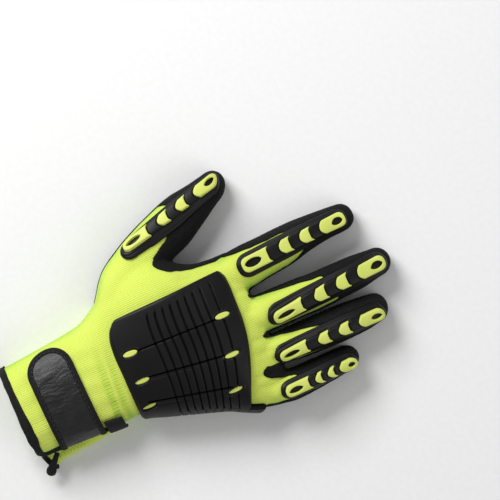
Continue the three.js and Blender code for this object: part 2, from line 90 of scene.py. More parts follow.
DIGIT_COLUMNS = ("y", "x", "half", "height")
DIGITS = {
    "thumb": {
        "tip": 75,
        "rounding": 10,
        "rows": [
            (-34, -28, 14, 30),
            (-20, -37.5, 22.5, 33),
            (-6, -46.7, 21.7, 31.5),
            (10, -57.1, 18.6, 29.5),
            (24, -64, 17, 27.5),
            (38, -68.8, 16.4, 25.5),
            (52, -73.7, 13, 23.5),
            (64, -78.2, 10.6, 20.5),
            (73, -80.5, 9.8, 18.5),
        ],
        "guard": {"from": -3.9, "to": 72, "x_from": -63.9, "x_to": -83, "width": 14.4},
    },
    "index": {
        "tip": 139,
        "rounding": 9,
        "rows": [
            (38, -23.5, 13, 30),
            (62, -24.2, 13.9, 28.2),
            (76, -25.2, 13.3, 26.5),
            (92, -26.1, 12.7, 24.5),
            (106, -27.4, 11, 22.5),
            (118, -27.6, 9.9, 20),
            (130, -27.3, 9, 17),
        ],
        "guard": {"from": 58.2, "to": 134, "x_from": -25, "x_to": -26.4, "width": 15.8},
    },
    "middle": {
        "tip": 148.5,
        "rounding": 9.5,
        "rows": [
            (38, 6.2, 12, 31),
            (62, 6.4, 12.5, 29.2),
            (81, 7, 12.5, 27.2),
            (104, 8, 12, 24.5),
            (124, 7.9, 11.2, 21.5),
            (139, 7.6, 9.6, 17.5),
        ],
        "guard": {"from": 62.2, "to": 145.4, "x_from": 12.2, "x_to": 8.6, "width": 16},
    },
    "ring": {
        "tip": 135,
        "rounding": 9.5,
        "rows": [
            (38, 30.2, 9.6, 30),
            (58, 30.4, 9.9, 28),
            (74, 31.8, 11.2, 26.5),
            (94, 32.5, 11.7, 24.5),
            (112, 32.9, 11.4, 22),
            (126, 33.2, 9.8, 18),
        ],
        "guard": {"from": 56, "to": 131.4, "x_from": 35.2, "x_to": 37.2, "width": 15},
    },
    "little": {
        "tip": 105.5,
        "rounding": 9,
        "rows": [
            (34, 49, 8.5, 26.5),
            (54, 54.6, 10.3, 26.5),
            (70, 54.9, 9.8, 24.5),
            (84, 54.4, 9.4, 22),
            (97, 54.1, 8.6, 18.5),
        ],
        "guard": {"from": 50.2, "to": 103, "x_from": 57.4, "x_to": 57.6, "width": 14.6},
    },
}

# %% [markdown]
# A table could be read with straight lines between its rows, but the glove would then look faceted. A
# curve that passes through every row, with its slope taken from the rows beside it, keeps the given
# sizes and is smooth between them. A section is a flattened oval, and an angle around it finds a point.

# %% Read the tables as smooth curves
def reader(columns, rows):
    """A function that gives a table's other columns at any place along its first one."""
    places = [row[0] for row in rows]

    def read(y):
        y = min(max(y, places[0]), places[-1])
        i = 1
        while i < len(places) - 1 and places[i] <= y:
            i += 1
        t0, t1 = places[i - 1], places[i]
        before = rows[i - 2] if i >= 2 else rows[i]
        after = rows[i + 1] if i + 1 < len(rows) else rows[i - 1]
        before_at = before[0] if i >= 2 else t1
        after_at = after[0] if i + 1 < len(rows) else t0
        w_before = 0.5 * (t1 - t0) / (t0 - before_at)
        w_after = 0.5 * (t1 - t0) / (after_at - t1)
        p = (y - t0) / (t1 - t0)
        weights = (
            -w_before * p**3 + 2 * w_before * p**2 - w_before * p,
            (1 + w_before) * p**3 + (-1.5 - 2 * w_before) * p**2 + (w_before - 0.5) * p + 1,
            (-1 - w_after) * p**3 + (1.5 + w_after) * p**2 + 0.5 * p,
            w_after * p**3 - w_after * p**2,
        )
        four = (before, rows[i - 1], rows[i], after)
        return {
            name: sum(w * row[k] for w, row in zip(weights, four))
            for k, name in enumerate(columns)
            if k
        }

    return read


def mix(a, b, t):
    return a + (b - a) * t


def clamp(value, low, high):
    return min(max(value, low), high)


def smooth_step(low, high, value):
    t = clamp((value - low) / (high - low), 0, 1)
    return t * t * (3 - 2 * t)


def signed_power(value, power):
    """A power that keeps the sign: on a sine or cosine it squares a round outline off."""
    return math.copysign(abs(value) ** power, value)


read_hand = reader(HAND_COLUMNS, HAND)
for digit in DIGITS.values():
    digit["read"] = reader(DIGIT_COLUMNS, digit["rows"])


def hand_section(y):
    row = read_hand(y)
    middle = (row["left"] + row["right"]) / 2
    half = (row["right"] - row["left"]) / 2
    return {"y": y, "x": middle, "half": half, "squeeze": 1, **row}


def digit_section(digit, y, inset):
    body_end = digit["tip"] - digit["rounding"]
    into = max(0, (y - body_end) / (digit["rounding"] - inset))
    squeeze = math.sqrt(max(0, 1 - into * into))
    return {"y": y, "lean": 0, "flare": 0, "squeeze": squeeze, **digit["read"](y)}


def section_point(section, degrees, inset):
    """A point of a section in metres: angle 0 is the little finger's side, 90 the top."""
    c = math.cos(math.radians(degrees))
    s = math.sin(math.radians(degrees))
    power = BOTTOM_SQUARENESS if s < 0 else TOP_SQUARENESS
    side = signed_power(c, power)
    rise = abs(s) ** power
    flare = section["flare"] * smooth_step(FLARE_STARTS, FLARE_FULL, -s) if s < 0 < c else 0
    middle = section["height"] * MIDDLE_SHARE
    up = middle + (section["height"] - inset - middle) * rise * (1 - section["lean"] * side)
    down = middle - (middle - inset + FLAT_SAG) * rise
    z = max(inset, down) if s < 0 else up
    squeeze = section["squeeze"]
    x = section["x"] + (section["half"] - inset + flare) * side * squeeze
    y = section["y"] + flare * side * LIP_SLANT * smooth_step(LIP_SLANT_START_Y, CUFF_Y, section["y"])
    return Vector((x, y, middle + (z - middle) * squeeze)) * MM


def angle_over(section, x):
    """The angle at which a section's top stands over a place across it."""
    share = clamp((x - section["x"]) / section["half"], -1, 1)
    return math.degrees(math.acos(signed_power(share, 1 / TOP_SQUARENESS)))


print("digits:", ", ".join(DIGITS))

# %% [markdown]
# Blender's edit mode extrudes a ring and leaves the new one selected, so a hollow form can be drawn
# out section by section, as a potter pulls a wall up. Each vertex carries a number that says where on
# the ring it belongs, and extruding copies that number along.

# %% Draw out a form ring by ring
def deselect_all():
    if bpy.context.object and bpy.context.object.mode != "OBJECT":
        bpy.ops.object.mode_set(mode="OBJECT")
    bpy.ops.object.select_all(action="DESELECT")


def named(name):
    piece = bpy.context.object
    piece.name = name
    piece.data.name = name
    return piece


def pick(piece):
    """Select one piece alone, as the one that operators work on."""
    deselect_all()
    piece.select_set(True)
    bpy.context.view_layer.objects.active = piece


def close_edit():
    """Turn all faces outwards and leave edit mode."""
    bpy.ops.mesh.select_all(action="SELECT")
    bpy.ops.mesh.normals_make_consistent(inside=False)
    bpy.ops.object.mode_set(mode="OBJECT")


def draw_out(name, rings):
    """A closed solid through rings of points, made by extruding a circle along them."""
    deselect_all()
    count = len(rings[0])
    bpy.ops.mesh.primitive_circle_add(vertices=count, radius=1, fill_type="NGON")
    form = named(name)
    turn = form.data.attributes.new("turn", "INT", "POINT")
    for i in range(count):
        turn.data[i].value = i
    bpy.ops.object.mode_set(mode="EDIT")
    bpy.ops.mesh.select_all(action="SELECT")
    for k, ring in enumerate(rings):
        if k:
            bpy.ops.mesh.extrude_region_move()
        drawn = bmesh.from_edit_mesh(form.data)
        place = drawn.verts.layers.int["turn"]
        for vertex in drawn.verts:
            if vertex.select:
                vertex.co = ring[vertex[place]]
        bmesh.update_edit_mesh(form.data)
    close_edit()
    return form


def apply_modifier(piece, kind, **settings):
    pick(piece)
    modifier = piece.modifiers.new(kind.title(), kind)
    for name, value in settings.items():
        setattr(modifier, name, value)
    bpy.ops.object.modifier_apply(modifier=modifier.name)


def join(pieces, name):
    deselect_all()
    for piece in pieces:
        piece.select_set(True)
    bpy.context.view_layer.objects.active = pieces[0]
    bpy.ops.object.join()
    return named(name)


def steps(start, stop, spacing):
    count = max(1, round((stop - start) / spacing))
    return [mix(start, stop, i / count) for i in range(count + 1)]


# %% [markdown]
# The worn shape: the palm and the five digits are drawn out as separate forms, then remeshed into one
# skin. Smoothing after the remesh turns the sharp creases between the forms into the soft webs that
# stretched knit has between the fingers.

# %% The glove's one skin
RING_SPACING = 4
HAND_TURNS = 72
DIGIT_TURNS = 36
SKIN_VOXEL = 0.0013
SKIN_SMOOTHING = 7
LAST_RING_Y = 55
HAND_END_SQUEEZE = 0.9
TIP_SHARES = (0.2, 0.38, 0.54, 0.68, 0.8, 0.89, 0.95, 0.985)


def ring(section, turns, inset):
    return [section_point(section, 360 * i / turns, inset) for i in range(turns)]


def hand_form(inset):
    rings = [ring(hand_section(y), HAND_TURNS, inset) for y in steps(CUFF_Y, LAST_RING_Y, RING_SPACING)]
    last = hand_section(HAND_END_Y - inset)
    last["squeeze"] = HAND_END_SQUEEZE
    return draw_out("hand_form", rings + [ring(last, HAND_TURNS, inset)])


def digit_form(name, inset):
    digit = DIGITS[name]
    body_end = digit["tip"] - digit["rounding"]
    places = steps(digit["rows"][0][0] + inset, body_end, RING_SPACING)
    for share in TIP_SHARES:
        places.append(body_end + share * (digit["rounding"] - inset))
    rings = [ring(digit_section(digit, y, inset), DIGIT_TURNS, inset) for y in places]
    return draw_out(name + "_form", rings)


forms = [hand_form(KNIT_OUT)] + [digit_form(name, KNIT_OUT) for name in DIGITS]
skin = join(forms, "skin")
apply_modifier(skin, "REMESH", mode="VOXEL", voxel_size=SKIN_VOXEL, use_smooth_shade=True)
apply_modifier(skin, "SMOOTH", factor=0.5, iterations=SKIN_SMOOTHING)
print("skin vertices:", len(skin.data.vertices))

# %% [markdown]
# Cloth is never quite even. Before anything is cut from the skin, its vertices move a few tenths of a
# millimetre along their normals: slow waves over the back, and creases where the fingers start.

# %% Uneven cloth
WAVE_SIZE = 22
CREASE_WIDTH = 1.9
CREASE_LENGTH = 9
CREASE_LEAN = 0.12
# Each crease's x, y and strength, and below them each fold's y and strength.
CREASES = [
    (-12, 54, 1.0),
    (2, 55, 0.7),
    (20, 50, 1.0),
    (29, 51, 0.8),
    (42, 44, 1.0),
    (49, 42, 0.8),
    (-33, 30, 0.9),
]
WRIST_FOLDS = [(-44.8, 1.0), (-38.4, 0.8)]
FOLD_LEAN = 0.09
FOLD_WIDTH = 1.8
FOLD_DEPTH = 2.1
TOP_SIDE_Z = 14


def crease_depth(x, y):
    """Short creases along the glove that fade out towards both ends."""
    depth = 0
    for crease_x, crease_y, strength in CREASES:
        across = (x - crease_x - CREASE_LEAN * (y - crease_y)) / CREASE_WIDTH
        along = (y - crease_y) / CREASE_LENGTH
        depth += strength * math.exp(-across * across - along * along)
    return depth


def wrist_folds(x, y):
    """Two folds across the wrist, deepest towards the little finger's side."""
    depth = 0
    for fold_y, strength in WRIST_FOLDS:
        away = (y - fold_y + FOLD_LEAN * x) / FOLD_WIDTH
        depth += FOLD_DEPTH * strength * math.exp(-away * away)
    return depth * smooth_step(-24, 8, x)


def push_out(piece, distance):
    """Move each vertex along its normal by distance(place in millimetres), also in millimetres."""
    normals = [vertex.normal.copy() for vertex in piece.data.vertices]
    for vertex, normal in zip(piece.data.vertices, normals):
        vertex.co += normal * distance(vertex.co / MM) * MM


def unevenness(place):
    """How far the cloth stands out, in millimetres. It stays where it lies on the floor."""
    x, y, z = place
    wave = noise.noise(place / WAVE_SIZE) * 0.45
    wave += noise.noise(place / WAVE_SIZE * 2.7) * 0.2
    cuff = 0.35 * math.sin(x * 0.55 + 1.3 * math.sin(y * 0.07)) * smooth_step(-38, -52, y)
    fold = 0.7 * crease_depth(x, y) + wrist_folds(x, y) if z > TOP_SIDE_Z else 0
    return (wave + 0.5 * cuff - fold) * smooth_step(1.5, 6, z)


push_out(skin, unevenness)
print("creases and folds:", len(CREASES), len(WRIST_FOLDS))

# %% [markdown]
# The knitted shell is the skin with its cuff cut open. The slit on the outer side lets the strap pull
# the cuff tight, and the wall is thickened inwards so that the opening shows real cloth.

# %% Cut and thicken the knitted shell
KNIT_WALL = 0.0011
END_TRIM = 0.6
CAP_REACH = 9
SLIT_SIDE_X = 16


def duplicate(piece, name):
    pick(piece)
    bpy.ops.object.duplicate()
    return named(name)


def edit(piece):
    pick(piece)
    bpy.ops.object.mode_set(mode="EDIT")
    bpy.ops.mesh.select_mode(type="FACE")
    bpy.ops.mesh.select_all(action="DESELECT")
    return bmesh.from_edit_mesh(piece.data)


def cut_away(piece, unwanted):
    """Delete every face for which unwanted(centre in millimetres, normal) is true."""
    drawn = edit(piece)
    for face in drawn.faces:
        if unwanted(face.calc_center_median() / MM, face.normal):
            face.select = True
    bmesh.update_edit_mesh(piece.data)
    bpy.ops.mesh.delete(type="FACE")
    bpy.ops.object.mode_set(mode="OBJECT")


def smooth_border(piece, rounds):
    """Even out an open edge that follows the mesh's small steps, along the edge only."""
    drawn = bmesh.new()
    drawn.from_mesh(piece.data)
    beside = {}
    for border in drawn.edges:
        if border.is_boundary:
            first, second = border.verts
            beside.setdefault(first, []).append(second)
            beside.setdefault(second, []).append(first)
    for _ in range(rounds):
        middles = {
            vertex: (ends[0].co + ends[1].co) / 2 for vertex, ends in beside.items() if len(ends) == 2
        }
        for vertex, middle in middles.items():
            vertex.co = vertex.co.lerp(middle, 0.5)
    drawn.to_mesh(piece.data)
    drawn.free()


def beyond_cuff(centre, normal):
    """True on the skin's closed end, whose flared side slants back, and in the slit."""
    at_end = centre.y < CUFF_Y + END_TRIM
    on_cap = centre.y < CUFF_Y + CAP_REACH and normal.y < -0.5
    in_slit = centre.x > SLIT_SIDE_X and centre.y < SLIT_END_Y and SLIT_LOW < centre.z < SLIT_HIGH
    return at_end or on_cap or in_slit


knit = duplicate(skin, "knitted_shell")
cut_away(knit, beyond_cuff)
smooth_border(knit, 4)
apply_modifier(knit, "SOLIDIFY", thickness=KNIT_WALL, offset=-1)
print("knit faces:", len(knit.data.polygons))

# %% [markdown]
# Dipping leaves the palm, the finger sides and the fingertips under a black skin, and its edge on the
# back creeps a little way into the knit. The same faces of the skin are copied for it, chosen by an
# outline on the back that noise makes ragged, and lifted clear of the knit.

# %% The dipped palm coating
COATING_START_Y = -32
COATING_HEIGHT = 9.6
COATING_LIFT = 0.85
COATING_SKIN = 0.0006
UNDER_GUARD = 1.4
GUARD_SHARE = 0.93
# The outline, on the back of the hand, of the knit that stays bare.
BARE_KNIT = [
    (-110, -60), (-110, 23), (-83, 24), (-77, 43), (-70.4, 40), (-60.8, 24.9), (-53.6, 14), (-51, 11),
    (-47.5, 12), (-42.1, 17.6), (-38.8, 26.3), (-36, 38.2), (-35.1, 56.3), (-33.8, 71),
    (-33.8, 94), (-30, 101), (-21, 103), (-17.8, 100), (-14.9, 89.9), (-12.8, 76.5),
    (-11.1, 63.2), (-9.2, 58), (-6.7, 56), (-4.8, 59), (-3.5, 69.6), (-1.2, 86), (1.2, 104),
    (6, 108), (15, 111), (18.2, 107), (18.4, 93), (18, 76), (17.6, 58), (18.3, 54), (20, 54),
    (21.4, 57), (23.9, 67.7), (27.6, 88), (30, 98), (35, 98), (38.6, 66), (38.4, 55.7),
    (37.6, 48), (41, 44.5), (45.2, 47.6), (47.9, 56), (50, 64), (56, 67), (61, 63), (62, 58),
    (61, 46), (58, 36), (54.5, 30), (90, 29.5), (90, -60),
]


def inside(outline, x, y):
    hit = False
    for (x0, y0), (x1, y1) in zip(outline, outline[1:] + outline[:1]):
        if (y0 > y) != (y1 > y) and x < x0 + (y - y0) / (y1 - y0) * (x1 - x0):
            hit = not hit
    return hit


def under_digit_guard(x, y, margin):
    for digit in DIGITS.values():
        guard = digit["guard"]
        half = GUARD_SHARE * guard["width"] / 2 - margin
        low, high = guard["from"] + margin + half, guard["to"] - margin - half
        along = clamp(y, low, high)
        share = (y - guard["from"]) / (guard["to"] - guard["from"])
        aside = x - mix(guard["x_from"], guard["x_to"], share)
        if math.hypot(aside, y - along) < half:
            return True
    return False


def coated(centre, normal):
    x, y, z = centre
    ragged = noise.noise(centre * 0.3) * 0.8 + noise.noise(centre) * 0.3
    if y < COATING_START_Y + ragged:
        return False
    if z < COATING_HEIGHT + ragged:
        return True
    if inside(BARE_KNIT, x + ragged, y + 0.8 * ragged):
        return False
    return not under_digit_guard(x, y, UNDER_GUARD)


coating = duplicate(skin, "dipped_palm")
cut_away(coating, lambda centre, normal: not coated(centre, normal))
smooth_border(coating, 8)
push_out(coating, lambda place: COATING_LIFT)
apply_modifier(coating, "SOLIDIFY", thickness=COATING_SKIN, offset=-1)
print("coating faces:", len(coating.data.polygons))

# %% [markdown]
# Moulded rubber parts are first made flat, the way their mould is cut: an outline is filled, extruded
# and bevelled. A remesh gives the flat part small even faces, and then every vertex is carried over to
# the digit: across and along become a place on its surface, and height stays height.

# %% Flat moulded parts
ROUND_STEPS = 14
OVAL_STEPS = 9
OVAL_FULLNESS = 0.6
SMOOTHING = 3


def flat_part(name, outline, low, high, bevel):
    """A solid over an outline in millimetres, with its top edge bevelled."""
    deselect_all()
    bpy.ops.mesh.primitive_circle_add(vertices=len(outline), radius=1, fill_type="NGON")
    part = named(name)
    for vertex, (x, y) in zip(part.data.vertices, outline):
        vertex.co = Vector((x, y, low)) * MM
    edit(part)
    bpy.ops.mesh.select_all(action="SELECT")
    bpy.ops.mesh.extrude_region_move(TRANSFORM_OT_translate={"value": (0, 0, (high - low) * MM)})
    if bevel:
        bpy.ops.mesh.bevel(offset=bevel * MM, segments=3, affect="EDGES")
    close_edit()
    return part


def cut_hole(part, outline, low, high):
    tool = flat_part("hole_tool", outline, low, high, bevel=0)
    apply_modifier(part, "BOOLEAN", object=tool, operation="DIFFERENCE", solver="EXACT")
    bpy.data.objects.remove(tool)


def even_faces(part, voxel):
    apply_modifier(part, "REMESH", mode="VOXEL", voxel_size=voxel * MM, use_smooth_shade=True)
    apply_modifier(part, "SMOOTH", factor=0.5, iterations=SMOOTHING)


def carry_over(part, place):
    """Move each vertex of a flat part to place(across, along, height), all in millimetres."""
    for vertex in part.data.vertices:
        vertex.co = place(*(vertex.co / MM))
    edit(part)
    close_edit()


def stadium(half, start, stop):
    """A strip with two round ends."""
    outline = []
    for turned, middle in ((0, stop - half), (math.pi, start + half)):
        for i in range(ROUND_STEPS + 1):
            angle = turned + math.pi * i / ROUND_STEPS
            outline.append((half * math.cos(angle), middle + half * math.sin(angle)))
    return outline


def pointed_oval(half, start, stop):
    side = []
    for i in range(OVAL_STEPS + 1):
        share = i / OVAL_STEPS
        side.append((half * math.sin(math.pi * share) ** OVAL_FULLNESS, mix(start, stop, share)))
    return side + [(-x, y) for x, y in reversed(side[1:-1])]


# %% [markdown]
# A digit's guard is one black strip with four green pads on it. Each pad's ends are bowed towards the
# wrist, so that the strip folds when the finger bends, and black blocks fill the spaces. The pads' ends
# are shares of the strip's length.

# %% Guards on the digits
LONG_SHARES = (0.043, 0.278, 0.385, 0.478, 0.571, 0.662, 0.753, 0.984)
SHORT_SHARES = (0.055, 0.35, 0.434, 0.513, 0.594, 0.673, 0.748, 0.982)
BOW_NEAR = 3.0
BOW_FAR = 1.7
BOW_STEPS = 10
ROUND_END = 4.2
END_SQUARENESS = 0.8
PAD_WIDTH_SHARE = 0.54
CHEVRON_SHARE = 0.93
NEAR_END_SHARE = 0.94
FAR_END_SHARE = 1.03
NEAR_HOLE = {"half": 2.05, "rim": 1.9, "reach": 0.75}
FAR_HOLE = {"half": 1.95, "rim": 1.8, "reach": 0.54}
PAD_BEVEL = 0.55
PAD_VOXEL = 0.3
STRIP_VOXEL = 0.36
FLANGE_TOP = 1.7
PLINTH_TOP = 2.2
BLOCK_TOP = 4.0
PAD_BOTTOM = 2.3
PAD_TOP = 4.7


def bowed_edge(half, y, bow, power):
    """An end from the right to the left side, bowed towards the wrist in its middle."""
    sides = [mix(1, -1, i / BOW_STEPS) for i in range(BOW_STEPS + 1)]
    return [(half * side, y + bow * abs(side) ** power) for side in sides]


def round_end(half, y, way):
    """A round end that reaches y, from one side to the other; way is -1 towards the wrist, 1 away."""
    middle = y - way * ROUND_END
    outline = []
    for i in range(ROUND_STEPS + 1):
        angle = math.pi * i / ROUND_STEPS
        across = way * half * signed_power(math.cos(angle), END_SQUARENESS)
        outline.append((across, middle + way * ROUND_END * math.sin(angle)))
    return outline


def pad_outline(half, near, far, kind):
    """Outlines of the pads and of the blocks between them, counter-clockwise."""
    convex = list(reversed(bowed_edge(half * NEAR_END_SHARE, near, BOW_NEAR, 2)))
    concave = bowed_edge(half * FAR_END_SHARE, far, BOW_FAR, 4)
    if kind == "near":
        return round_end(half, near, -1) + concave
    if kind == "far":
        return convex + round_end(half, far, 1)
    if kind == "chevron":
        return convex + concave
    return list(reversed(bowed_edge(half, near, BOW_FAR, 4))) + bowed_edge(half, far, BOW_NEAR, 2)


def on_digit(digit, y, across, above):
    """A point over a digit's back, in metres, given from the line that its guard follows."""
    guard = digit["guard"]
    section = digit_section(digit, min(y, digit["tip"] - 1.5), 0)
    reach = section["half"] * section["squeeze"]
    share = clamp((y - guard["from"]) / (guard["to"] - guard["from"]), 0, 1)
    turn = angle_over({**section, "half": reach}, mix(guard["x_from"], guard["x_to"], share))
    radius = (reach + section["height"] / 2) / 2 + above
    degrees = turn - math.degrees(across / radius)
    return section_point({**section, "y": y}, degrees, SEAT - above)


def digit_guard(name):
    digit = DIGITS[name]
    guard = digit["guard"]
    length = guard["to"] - guard["from"]
    pad_half = guard["width"] * PAD_WIDTH_SHARE / 2
    shares = SHORT_SHARES if name == "little" else LONG_SHARES
    ends = [share * length for share in shares]

    def place(across, along, height):
        return on_digit(digit, guard["from"] + along, across, height)

    strip = [
        flat_part("flange", stadium(guard["width"] / 2, 0, length), 0, FLANGE_TOP, 0.7),
        flat_part("plinth", stadium(pad_half + 1, 1, length - 0.3), 0, PLINTH_TOP, 0.35),
    ]
    for i in (1, 3, 5):
        outline = pad_outline(pad_half - 0.2, ends[i] + 0.5, ends[i + 1] - 0.5, "block")
        strip.append(flat_part("block", outline, 0, BLOCK_TOP, 0.6))
    base = join(strip, name + "_guard_strip")
    even_faces(base, STRIP_VOXEL)
    carry_over(base, place)

    holes = {
        "near": (NEAR_HOLE["half"], ends[0] + NEAR_HOLE["rim"], mix(ends[0], ends[1], NEAR_HOLE["reach"])),
        "far": (FAR_HOLE["half"], mix(ends[7], ends[6], FAR_HOLE["reach"]), ends[7] - FAR_HOLE["rim"]),
    }
    pads = []
    for i, kind in enumerate(("near", "chevron", "chevron", "far")):
        half = pad_half * CHEVRON_SHARE if kind == "chevron" else pad_half
        outline = pad_outline(half, ends[2 * i], ends[2 * i + 1], kind)
        pad = flat_part(f"{name}_pad_{i + 1}_moulded", outline, PAD_BOTTOM, PAD_TOP, PAD_BEVEL)
        if kind in holes:
            cut_hole(pad, pointed_oval(*holes[kind]), PAD_BOTTOM - 1, PAD_TOP + 1)
        even_faces(pad, PAD_VOXEL)
        carry_over(pad, place)
        pads.append(pad)
    return base, pads


guards = {name: digit_guard(name) for name in DIGITS}
print("guard faces:", sum(len(base.data.polygons) for base, pads in guards.values()))

# %% [markdown]
# The knuckle guard is one broad panel, so it starts as a grid. Extruded once, the grid is a closed box
# with a top and a bottom, and each of its vertices is then carried to the back of the hand. Only the
# top's height changes: it rounds off at the border, drops into the grooves, and leaves six recesses.

# %% The knuckle guard
KNUCKLE_COLUMNS = ("x", "near", "far")
KNUCKLE_EDGES = [
    (-28.4, -18, 42),
    (-27.6, -23.5, 46),
    (-25, -28, 48.6),
    (-20, -31.5, 49.6),
    (-10, -33.6, 49.2),
    (5, -34, 48.2),
    (20, -34.5, 45),
    (34, -34.8, 39.6),
    (46, -34.6, 33.8),
    (56, -34.2, 28.6),
]
KNUCKLE_THICKNESS = 4.0
KNUCKLE_LOWEST_ANGLE = -6
# Each lens's x, y and width: three towards the wrist, then three towards the fingers.
LENSES = [
    (-5.9, -24, 3.5),
    (11.3, -24.4, 3.1),
    (26.2, -27.3, 2.6),
    (-2.4, 37.7, 3.6),
    (20.6, 32.9, 3.2),
    (40, 25.5, 3.0),
]
LENS_LENGTH = 9.6
LENS_LEAN = 0.06
LENS_BOTTOM = 1.4
PARTING_LINES = list(zip(LENSES[:3], LENSES[3:]))
GROOVE_SHARES = (0.325, 0.39, 0.455, 0.52, 0.585, 0.65, 0.715, 0.78, 0.865)
GROOVE_HALF = 0.75
GROOVE_DEPTH = 1.7
GROOVES_START_X = -23.5
LINE_HALF = 0.6
LINE_DEPTH = 0.4
WINDOW_DEPTH = 2.2
WINDOW_RIM = 0.35
BORDER = 2.4
BORDER_DROP = 1.9
PANEL_BREADTH = 95
PANEL_REACH = 79
PANEL_CELLS = 222

read_edges = reader(KNUCKLE_COLUMNS, KNUCKLE_EDGES)


def on_hand(x, y, above):
    section = hand_section(y)
    return section_point(section, angle_over(section, x), SEAT - above)


def panel_place(u, v):
    """The section, the angle and the plan place of a point of the panel."""
    x = mix(KNUCKLE_EDGES[0][0], 50, u)
    for _ in range(3):
        edges = read_edges(x)
        y = mix(edges["near"], edges["far"], v)
        section = hand_section(y)
        start = angle_over(section, KNUCKLE_EDGES[0][0])
        degrees = mix(start, KNUCKLE_LOWEST_ANGLE, u)
        x = section_point(section, degrees, SEAT).x / MM
        if u > 0.7 and degrees < 20:
            break
    return section, degrees, x, y


def lens_distance(x, y, spot):
    """0 at a lens's middle, 1 at its edge."""
    middle_x, middle_y, width = spot
    along = (y - middle_y) / (LENS_LENGTH / 2)
    across = (x - middle_x) / (width / 2)
    return math.hypot(abs(along) ** 1.15, across)


def notch(distance, half):
    """A round-bottomed groove's depth, from 1 on its line to 0 at its edge."""
    return 1 - smooth_step(half * 0.35, half, abs(distance))


def panel_height(u, v, x, y):
    """How high the panel's top stands over its underside, in millimetres."""
    border = min(u * PANEL_BREADTH, (1 - u) * PANEL_BREADTH, v * PANEL_REACH, (1 - v) * PANEL_REACH)
    rounding = 1 - clamp(border / BORDER, 0, 1)
    height = KNUCKLE_THICKNESS - BORDER_DROP * rounding**2
    drop = 0
    starts = smooth_step(GROOVES_START_X, GROOVES_START_X + 3, x)
    for share in GROOVE_SHARES:
        drop = max(drop, GROOVE_DEPTH * starts * notch((v - share) * PANEL_REACH, GROOVE_HALF))
    for near, far in PARTING_LINES:
        along = (y - near[1]) / (far[1] - near[1])
        line = mix(near[0], far[0], along)
        if 0 < along < 1:
            drop = max(drop, LINE_DEPTH * notch(x - line, LINE_HALF))
    for spot in LENSES:
        distance = lens_distance(x, y, spot)
        if distance < 2:
            drop *= smooth_step(1.25, 1.5, distance)
            height += WINDOW_RIM * (1 - smooth_step(1.2, 1.6, distance))
            drop += WINDOW_DEPTH * (1 - smooth_step(1.02, 1.14, distance))
    return height - drop


def knuckle_panel():
    deselect_all()
    bpy.ops.mesh.primitive_grid_add(x_subdivisions=PANEL_CELLS, y_subdivisions=PANEL_CELLS, size=1)
    panel = named("knuckle_panel")
    edit(panel)
    bpy.ops.mesh.select_all(action="SELECT")
    bpy.ops.mesh.extrude_region_move(TRANSFORM_OT_translate={"value": (0, 0, 1)})
    close_edit()
    for vertex in panel.data.vertices:
        u, v = vertex.co.x + 0.5, vertex.co.y + 0.5
        section, degrees, x, y = panel_place(u, v)
        above = panel_height(u, v, x, y) if vertex.co.z > 0.5 else 0
        vertex.co = section_point(section, degrees, SEAT - above)
    panel.data.shade_smooth()
    return panel


def full_turn(count):
    """Evenly spaced angles all the way round."""
    return [2 * math.pi * k / count for k in range(count)]


def lens_insert(i, spot):
    middle_x, middle_y, width = spot
    half = LENS_LENGTH / 2
    outline = [(0.5 * width * math.cos(a), half * signed_power(math.sin(a), 0.9)) for a in full_turn(32)]
    top = KNUCKLE_THICKNESS - 0.1
    insert = flat_part(f"knuckle_lens_{i + 1}_moulded", outline, LENS_BOTTOM, top, 0.4)
    even_faces(insert, PAD_VOXEL)
    carry_over(insert, lambda x, y, height: on_hand(middle_x + x + LENS_LEAN * y, middle_y + y, height))
    return insert


panel = knuckle_panel()
lens_inserts = [lens_insert(i, spot) for i, spot in enumerate(LENSES)]
print("panel faces:", len(panel.data.polygons))

# %% [markdown]
# What lies round the cuff is made flat first and then wrapped, so it needs to know how far along the
# cuff's surface each angle lies. A table of small steps, added up from the strap's tip, answers that.

# %% Measure along the cuff
STRAP_MIDDLE = -73.6
STRAP_HALF = 15
STRAP_TIP_ANGLE = 146
STRAP_ROOT_ANGLE = 0
STRAP_THICKNESS = 1.2
EDGING_WIDTH = 3.8
EDGING_THICKNESS = 1.9
TUCK_DEPTH = 3.2
TUCK_LENGTH = 6
ANGLE_STEPS = 240
TIP_DEGREES_PER_MM = 1.6


def on_cuff(y, degrees, above):
    return section_point(hand_section(y), degrees, -above)


def angle_table():
    """How far along the cuff's surface each angle lies from the strap's tip, in millimetres."""
    table = [(0, STRAP_TIP_ANGLE)]
    last = on_cuff(STRAP_MIDDLE, STRAP_TIP_ANGLE, 1)
    for i in range(1, ANGLE_STEPS + 1):
        degrees = mix(STRAP_TIP_ANGLE, STRAP_ROOT_ANGLE - 10, i / ANGLE_STEPS)
        point = on_cuff(STRAP_MIDDLE, degrees, 1)
        table.append((table[-1][0] + (point - last).length / MM, degrees))
        last = point
    return table


cuff_angles = angle_table()


def angle_at(distance):
    if distance <= 0:
        return STRAP_TIP_ANGLE - distance * TIP_DEGREES_PER_MM
    for (d0, a0), (d1, a1) in zip(cuff_angles, cuff_angles[1:]):
        if d0 <= distance <= d1:
            return mix(a0, a1, (distance - d0) / (d1 - d0))
    return cuff_angles[-1][1]


def distance_at(degrees):
    return min(cuff_angles, key=lambda row: abs(row[1] - degrees))[0]


STRAP_LENGTH = distance_at(STRAP_ROOT_ANGLE)
print("strap length in mm:", round(STRAP_LENGTH, 1))

# %% [markdown]
# The strap is a flat leather-like panel, rounded at its free end and edged with folded tape. Both are
# made flat, with the panel's creases pushed into it while it is flat, and then wrapped round the cuff.

